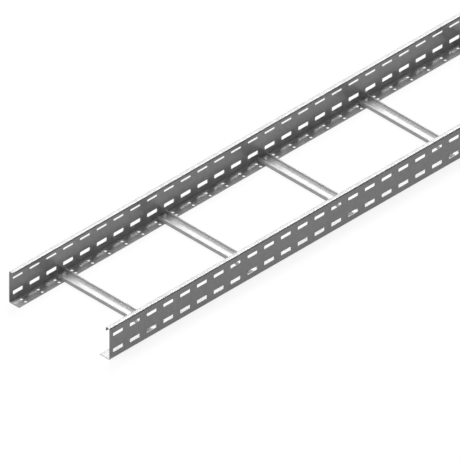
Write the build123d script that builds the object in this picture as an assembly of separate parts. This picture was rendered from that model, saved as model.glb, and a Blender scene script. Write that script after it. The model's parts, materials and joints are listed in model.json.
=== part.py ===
from build123d import *
import os

# Cable ladder section of galvanised steel sheet: two punched side rails joined by channel rungs.
# Millimetres, +Z up. X runs along the ladder and Y across it, from the front rail to the back one.
# The origin is on the ground under the middle of the ladder.

# Whole section
section_length = 3000.0
overall_width = 300.0

# Side rail, a C profile whose flanges point inward; outside sizes
rail_sheet = 1.5
rail_bend_radius = 1.5
rail_height = 80.0
top_flange_width = 12.0
top_lip_height = 9.5
bottom_flange_width = 30.0

# Two rows of slots in the web of each rail, both as far from the nearer flange
slot_pitch = 50.0
slot_length = 30.0
slot_height = 9.0
slot_corner_radius = 1.5
slot_row_distance = 20.0

# Pairs of round holes in the bottom flange, at the slot pitch, measured from the outer face
flange_hole_diameter = 7.0
outer_hole_distance = 12.0
hole_pair_spacing = 12.0

# Rungs, C channels open to the top that stand on the bottom flanges
rung_spacing = 300.0
first_rung_distance = 147.5
rung_sheet = 1.5
rung_bend_radius = 0.8
rung_width = 31.0
rung_height = 10.0
rung_lip_width = 3.5

# Gap between the end of a rung and the web of the rail that it points at
rung_end_gap = 6.0

# How far the punches reach beyond the sheet on both sides
punch_overrun = 1.0


def folded_sheet(outer_points, sheet, bend_radius):
    """Section of a sheet folded at right angles.

    outer_points follow the outer side of the sheet, whose thickness lies to their left.
    bend_radius is that of the inner side.
    """
    outer = [Vector(*point) for point in outer_points]
    runs = [(end - start).normalized() for start, end in zip(outer, outer[1:])]
    inward = [Vector(-run.Y, run.X) * sheet for run in runs]
    inner = [outer[0] + inward[0]]
    inner += [corner + before + after for corner, before, after in zip(outer[1:], inward, inward[1:])]
    inner += [outer[-1] + inward[-1]]
    outer_line = FilletPolyline(*outer, radius=bend_radius + sheet)
    inner_line = FilletPolyline(*inner, radius=bend_radius)
    first_edge = Line(outer[0], inner[0])
    last_edge = Line(outer[-1], inner[-1])
    return make_face(outer_line + inner_line + first_edge + last_edge)


def slot_count():
    """How many slot pitches fit in the length of the ladder."""
    return int(section_length // slot_pitch)


def web_slots():
    """Punches for the two rows of slots in the front rail's web."""
    row_spacing = rail_height - 2 * slot_row_distance
    places = Pos(0, rail_height / 2) * GridLocations(slot_pitch, row_spacing, slot_count(), 2)
    slots = Sketch() + places * RectangleRounded(slot_length, slot_height, slot_corner_radius)
    outside = Plane.XZ.offset(overall_width / 2 + punch_overrun)
    return extrude(outside * slots, -rail_sheet - 2 * punch_overrun)


def flange_holes():
    """Punches for the pairs of round holes in the front rail's bottom flange."""
    pair_middle = outer_hole_distance + hole_pair_spacing / 2 - overall_width / 2
    places = Pos(0, pair_middle) * GridLocations(slot_pitch, hole_pair_spacing, slot_count(), 2)
    holes = Sketch() + places * Circle(flange_hole_diameter / 2)
    underneath = Plane.XY.offset(-punch_overrun)
    return extrude(underneath * holes, rail_sheet + 2 * punch_overrun)


def front_rail():
    """Punched C profile, from the free edge of its lip round to that of its bottom flange."""
    outer_face = -overall_width / 2
    lip_face = outer_face + top_flange_width
    section = folded_sheet(
        [
            (lip_face, rail_height - top_lip_height),
            (lip_face, rail_height),
            (outer_face, rail_height),
            (outer_face, 0),
            (outer_face + bottom_flange_width, 0),
        ],
        rail_sheet,
        rail_bend_radius,
    )
    left_end = Plane.YZ.offset(-section_length / 2)
    profile = extrude(left_end * section, section_length)
    return profile - web_slots() - flange_holes()


def rung():
    """C channel with its lips turned in over it, standing on the bottom flanges at X = 0."""
    side = rung_width / 2
    bottom = rail_sheet
    top = bottom + rung_height
    section = folded_sheet(
        [
            (rung_lip_width - side, top),
            (-side, top),
            (-side, bottom),
            (side, bottom),
            (side, top),
            (side - rung_lip_width, top),
        ],
        rung_sheet,
        rung_bend_radius,
    )
    half_length = overall_width / 2 - rail_sheet - rung_end_gap
    front_end = Plane.XZ.offset(half_length)
    return extrude(front_end * section, -2 * half_length)


def rung_places():
    """X of every rung, counted from the left end for as long as a whole one fits."""
    first = first_rung_distance - section_length / 2
    room = section_length - first_rung_distance - rung_width / 2
    return [first + rung_spacing * index for index in range(1 + int(room // rung_spacing))]


os.makedirs("parts", exist_ok=True)

rail = front_rail()
export_step(rail, "parts/side_rail_front.step")
export_step(mirror(rail, about=Plane.XZ), "parts/side_rail_back.step")

channel = rung()
for number, x in enumerate(rung_places(), start=1):
    export_step(Pos(x, 0, 0) * channel, f"parts/rung_{number:02d}.step")
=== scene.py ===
# Straight cable ladder section: two slotted side rails and ten open channel rungs of galvanised
# sheet steel. Metres, in the part's own frame: X along the ladder, Y across it and Z up, with
# the origin on the floor under its middle.
import json
import math

import bpy
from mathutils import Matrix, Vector

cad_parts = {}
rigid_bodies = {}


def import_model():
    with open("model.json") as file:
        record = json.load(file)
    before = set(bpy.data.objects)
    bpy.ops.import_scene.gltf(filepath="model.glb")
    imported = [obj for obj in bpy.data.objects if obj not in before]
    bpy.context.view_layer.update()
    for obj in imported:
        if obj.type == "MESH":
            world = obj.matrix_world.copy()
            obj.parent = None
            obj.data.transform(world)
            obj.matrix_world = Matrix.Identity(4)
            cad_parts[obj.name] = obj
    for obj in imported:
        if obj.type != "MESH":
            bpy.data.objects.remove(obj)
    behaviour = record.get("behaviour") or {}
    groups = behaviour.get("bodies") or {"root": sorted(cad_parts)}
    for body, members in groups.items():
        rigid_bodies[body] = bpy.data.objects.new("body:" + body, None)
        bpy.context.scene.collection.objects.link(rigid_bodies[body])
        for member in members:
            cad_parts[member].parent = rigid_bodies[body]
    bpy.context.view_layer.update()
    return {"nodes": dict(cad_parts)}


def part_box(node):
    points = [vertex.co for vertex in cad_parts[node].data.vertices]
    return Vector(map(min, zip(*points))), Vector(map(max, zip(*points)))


# A new Blender file holds a cube, a camera and a lamp.
for leftover in list(bpy.data.objects):
    bpy.data.objects.remove(leftover)

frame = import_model()


# Side rails. Each is one strip of hot-dip galvanised sheet, 1.5 mm thick, punched flat and then
# roll-formed to a C. Its zinc has a spangle and faint marks of the rolls along the strip, is
# rougher and less metallic along the bends, and is missing on the edges that the punches sheared. A
# dark line of painted shade lies along the bends where they turn upwards.
rail_sheet = 0.0015
rail_bend_radius = 2 * rail_sheet
rail_top_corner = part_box("side_rail_back")[1]
rail_outer_face = rail_top_corner.y
rail_height = rail_top_corner.z
rail_zinc_tones = (0.36, 0.36, 0.364, 1), (0.55, 0.55, 0.556, 1)
rail_metallic = 0.25
# Painted shade: the dark colour of the line laid along the bends.
painted_bend_shade = (0.10, 0.10, 0.10, 1)
bare_steel = (0.40, 0.397, 0.392, 1)

# Size of a crystal of zinc, and how often the marks of the rolls and the clouds repeat in a metre.
spangle_size = 0.007
roll_marks_lengthwise = 3.0
roll_marks_crosswise = 260.0
clouds_per_metre = 9.0

# The zinc isn't quite smooth to the touch.
grit_per_metre = 1400.0
grit_depth = 0.00006
grit_strength = 0.1

# How far each mark takes the zinc from its darker tone to its paler one.
spangle_contrast = 0.35
roll_mark_contrast = 0.35
cloud_contrast = 0.45

# Roughness of sound zinc, and what its marks, the bends under the painted shade line and a sheared
# edge add to it.
zinc_roughness = 0.28
mark_roughness = 0.04
bend_roughness = 0.12
edge_roughness = 0.1

# How much less metallic than sound zinc the bends under the painted shade line are, and how much
# more a sheared edge.
bend_metallic_loss = 0.2
edge_metallic_gain = 0.15

# A face looks along an axis where that component of its normal is above this.
looks_along = 0.5

# Lifts the painted shade line on a rail's bends, which would be 0.286 at its strongest, to nearly
# 1.
rail_bend_gain = 3.4


class Socket:
    """One output of a material's nodes. Arithmetic on it adds the Math nodes that it stands for."""

    def __init__(self, tree, output):
        self.tree = tree
        self.output = output

    @classmethod
    def node(cls, tree, kind, settings=None, inputs=None, output=0):
        """Adds a node, sets its settings and then its inputs, and gives one of its outputs."""
        made = tree.nodes.new(kind)
        for name, value in (settings or {}).items():
            setattr(made, name, value)
        for name, value in (inputs or {}).items():
            if isinstance(value, cls):
                tree.links.new(value.output, made.inputs[name])
            else:
                made.inputs[name].default_value = value
        return cls(tree, made.outputs[output])

    def math(self, operation, first, second):
        """Adds a Math node that works on two sockets or numbers."""
        settings = {"operation": operation}
        return Socket.node(self.tree, "ShaderNodeMath", settings, {0: first, 1: second})

    def __add__(self, other):
        return self.math("ADD", self, other)

    def __radd__(self, other):
        return self.math("ADD", other, self)

    def __sub__(self, other):
        return self.math("SUBTRACT", self, other)

    def __rsub__(self, other):
        return self.math("SUBTRACT", other, self)

    def __mul__(self, other):
        return self.math("MULTIPLY", self, other)

    def __rmul__(self, other):
        return self.math("MULTIPLY", other, self)

    def __gt__(self, other):
        return self.math("GREATER_THAN", self, other)

    def __lt__(self, other):
        return self.math("LESS_THAN", self, other)

    def __abs__(self):
        return self.math("ABSOLUTE", self, 0.0)

    def __or__(self, other):
        return self.math("MAXIMUM", self, other)

    def to(self, name):
        """Links the value to an input of the material's own shader."""
        self.tree.links.new(self.output, self.tree.nodes["Principled BSDF"].inputs[name])


def blended(tree, factor, first, second):
    """Colour that goes from first to second as factor goes from 0 to 1."""
    # A Mix node has its own sockets for every kind of value: for colours 6, 7 and output 2.
    settings = {"data_type": "RGBA"}
    return Socket.node(tree, "ShaderNodeMix", settings, {0: factor, 6: first, 7: second}, 2)


def galvanised_sheet(name, roll_marks_per_metre, zinc_tones, metallic, cut_edges, painted_bend_lines):
    """Zinc-coated sheet. roll_marks_per_metre is how often those marks repeat along X, Y and Z.

    cut_edges gives the mask of the places where the zinc is gone, and the last argument gives the
    mask of the dark line of painted shade along the bends.
    """
    material = bpy.data.materials.new(name)
    material.use_nodes = True
    tree = material.node_tree
    place = Socket.node(tree, "ShaderNodeTexCoord", output="Object")
    normal = Socket.node(tree, "ShaderNodeTexCoord", output="Normal")
    at = [Socket.node(tree, "ShaderNodeSeparateXYZ", {}, {0: place}, axis) for axis in "XYZ"]
    towards = [Socket.node(tree, "ShaderNodeSeparateXYZ", {}, {0: normal}, axis) for axis in "XYZ"]

    crystals = {"Vector": place, "Scale": 1 / spangle_size}
    crystal = Socket.node(tree, "ShaderNodeTexVoronoi", {}, crystals, "Color")
    spangle = Socket.node(tree, "ShaderNodeSeparateColor", {}, {0: crystal}, "Red")
    drawn_out = Socket.node(
        tree, "ShaderNodeVectorMath", {"operation": "MULTIPLY"}, {0: place, 1: roll_marks_per_metre}
    )
    streaks = {"Vector": drawn_out, "Scale": 1.0, "Detail": 4.0}
    roll_marks = Socket.node(tree, "ShaderNodeTexNoise", {}, streaks)
    patches = {"Vector": place, "Scale": clouds_per_metre, "Detail": 3.0}
    clouds = Socket.node(tree, "ShaderNodeTexNoise", {}, patches)
    grains = {"Vector": place, "Scale": grit_per_metre, "Detail": 2.0}
    grit = Socket.node(tree, "ShaderNodeTexNoise", {}, grains)

    tone = spangle_contrast * spangle + roll_mark_contrast * roll_marks + cloud_contrast * clouds
    # Painted shade: a dark line along the bends, mixed into the zinc's colour below.
    bend_shade_mask = painted_bend_lines(towards)
    edge = cut_edges(at, towards)
    zinc = blended(tree, tone, *zinc_tones)
    zinc_with_bend_shade = blended(tree, bend_shade_mask, zinc, painted_bend_shade)
    blended(tree, edge, zinc_with_bend_shade, bare_steel).to("Base Color")
    marked = zinc_roughness + mark_roughness * spangle + mark_roughness * roll_marks
    (marked + bend_roughness * bend_shade_mask + edge_roughness * edge).to("Roughness")
    (metallic - bend_metallic_loss * bend_shade_mask + edge_metallic_gain * edge).to("Metallic")
    relief = {"Strength": grit_strength, "Distance": grit_depth, "Height": grit}
    Socket.node(tree, "ShaderNodeBump", {}, relief).to("Normal")
    return material


def dress(node, material):
    """Gives a piece of the frame the material in place of its plain one."""
    slots = node.data.materials
    slots.clear()
    slots.append(material)


def rail_cut_edges(at, towards):
    """Ends of the rail, walls of its slots and holes, and free edges of its flange and lip."""
    upright_walls = abs(towards[0]) > looks_along
    in_web = (at[2] > rail_bend_radius) * (at[2] < rail_height - rail_bend_radius)
    level_walls = (abs(towards[2]) > looks_along) * in_web
    in_flange = (at[2] < rail_sheet) * (abs(at[1]) < rail_outer_face - rail_bend_radius)
    flange_walls = (abs(towards[1]) > looks_along) * in_flange
    return upright_walls | level_walls | flange_walls


def rail_painted_bend_lines(towards):
    """Mask of painted shade on a rail's bends: nearly 1 where a bend has turned upwards by a third
    of its way, and 0 on flat sheet.
    """
    upright = towards[1] * towards[1]
    return (upright * upright * towards[2] | 0.0) * rail_bend_gain


rail_zinc = galvanised_sheet(
    "rail_zinc",
    (roll_marks_lengthwise, roll_marks_crosswise, roll_marks_crosswise),
    rail_zinc_tones,
    rail_metallic,
    rail_cut_edges,
    rail_painted_bend_lines,
)
for name in ("side_rail_front", "side_rail_back"):
    dress(frame["nodes"][name], rail_zinc)


# Rungs. Ten channels of the same galvanised sheet, cut to length, open to the top with a narrow
# lip turned in on either side. Each stands on the bottom flanges of both rails and is spot
# welded to them, and the sheet was rolled along the rung.
# The rungs are the same sheet as the rails, yet their tones are paler: painted light that brightens
# the rungs' floors and walls.
rung_tones_with_painted_light = (0.52, 0.52, 0.526, 1), (0.7, 0.7, 0.707, 1)
rung_metallic = 0.15
# Strength of the painted shade line on the rungs' bends.
rung_bend_gain = 0.6


def rung_cut_edges(at, towards):
    """Cut ends of the rung, which are all that looks across the ladder."""
    return abs(towards[1]) > looks_along


def rung_painted_bend_lines(towards):
    """Mask of painted shade on a rung's bends: up to 0.3 half-way round a bend along the rung, and
    0 on the flat sheet.
    """
    return abs(towards[0] * towards[2]) * rung_bend_gain


rung_zinc = galvanised_sheet(
    "rung_zinc",
    (roll_marks_crosswise, roll_marks_lengthwise, roll_marks_crosswise),
    rung_tones_with_painted_light,
    rung_metallic,
    rung_cut_edges,
    rung_painted_bend_lines,
)
for name, node in frame["nodes"].items():
    if name.startswith("rung_"):
        dress(node, rung_zinc)


# Studio. A plain pale floor, one large soft lamp behind the ladder that shines down through its
# slots, a second one almost overhead, and a view without perspective from above the left end.
# Floor and world are white where seen or reflected, and throw hardly any light on the ladder.
floor_reach = 15.0
floor_gap = 0.0004
white = (1, 1, 1, 1)
floor_tone_seen = (0.95, 0.95, 0.95, 1)
floor_tone_scattered = (0.06, 0.06, 0.06, 1)
sky_strength_seen = 1.0
sky_strength_scattered = 0.01

# The floor mostly glows where it is seen, and the rest of it takes the shadow of the ladder.
floor_glow = 0.88

floor_mesh = bpy.data.meshes.new("floor")
corners = [(-1, -1), (1, -1), (1, 1), (-1, 1)]
floor_mesh.from_pydata(
    [(x * floor_reach, y * floor_reach, -floor_gap) for x, y in corners], [], [(0, 1, 2, 3)]
)
floor = bpy.data.objects.new("floor", floor_mesh)
bpy.context.scene.collection.objects.link(floor)


def seen_directly(tree):
    """1 for rays that show the surface itself or its reflection, and 0 for scattered light."""
    rays = ["Is Camera Ray", "Is Glossy Ray", "Is Transmission Ray"]
    camera, glossy, through = [
        Socket.node(tree, "ShaderNodeLightPath", {}, {}, name) for name in rays
    ]
    return camera | glossy | through


floor_paint = bpy.data.materials.new("floor_paint")
floor_paint.use_nodes = True
paint_tree = floor_paint.node_tree
paint_tree.nodes.remove(paint_tree.nodes["Principled BSDF"])
seen = seen_directly(paint_tree)
floor_tone = blended(paint_tree, seen, floor_tone_scattered, floor_tone_seen)
matt = Socket.node(paint_tree, "ShaderNodeBsdfDiffuse", {}, {"Color": floor_tone})
glow = Socket.node(paint_tree, "ShaderNodeEmission", {}, {"Color": white, "Strength": 1.0})
floor_layers = {0: floor_glow * seen, 1: matt, 2: glow}
painted = Socket.node(paint_tree, "ShaderNodeMixShader", {}, floor_layers)
paint_tree.links.new(painted.output, paint_tree.nodes["Material Output"].inputs["Surface"])
floor_mesh.materials.append(floor_paint)

world = bpy.data.worlds.new("studio")
bpy.context.scene.world = world
world.use_nodes = True
sky_tree = world.node_tree
sky_tree.nodes.remove(sky_tree.nodes["Background"])
dim_sky = {"Color": white, "Strength": sky_strength_scattered}
dim = Socket.node(sky_tree, "ShaderNodeBackground", {}, dim_sky)
bright_sky = {"Color": white, "Strength": sky_strength_seen}
bright = Socket.node(sky_tree, "ShaderNodeBackground", {}, bright_sky)
sky_layers = {0: seen_directly(sky_tree), 1: dim, 2: bright}
sky = Socket.node(sky_tree, "ShaderNodeMixShader", {}, sky_layers)
sky_tree.links.new(sky.output, sky_tree.nodes["World Output"].inputs["Surface"])

lamp_spread = math.radians(27)
towards_lamp_behind = (0.58, 0.44, 1.0)
strength_behind = 1.8
towards_lamp_overhead = (-0.34, 0.21, 1.0)
strength_overhead = 2.35


def soft_lamp(name, towards_lamp, strength):
    """Distant lamp in the direction towards_lamp, which looks lamp_spread wide."""
    light = bpy.data.lights.new(name, "SUN")
    light.energy = strength
    light.angle = lamp_spread
    lamp = bpy.data.objects.new(name, light)
    lamp.rotation_euler = Vector(towards_lamp).to_track_quat("Z", "Y").to_euler()
    bpy.context.scene.collection.objects.link(lamp)


soft_lamp("lamp_behind", towards_lamp_behind, strength_behind)
soft_lamp("lamp_overhead", towards_lamp_overhead, strength_overhead)

# The camera stands off the left end on the front rail's side, turned half-way between the two.
view_elevation = math.radians(35.1)
view_width = 0.9686
view_centre = Vector((-0.984, 0.008, 0.0))
camera_distance = 5.0
camera_range = 30.0
towards_camera = Vector((-1, -1, math.sqrt(2) * math.tan(view_elevation))).normalized()
camera = bpy.data.objects.new("camera", bpy.data.cameras.new("camera"))
camera.data.type = "ORTHO"
camera.data.ortho_scale = view_width
camera.data.clip_end = camera_range
camera.location = view_centre + camera_distance * towards_camera
camera.rotation_euler = towards_camera.to_track_quat("Z", "Y").to_euler()
bpy.context.scene.collection.objects.link(camera)
bpy.context.scene.camera = camera
bpy.context.scene.view_settings.view_transform = "Standard"
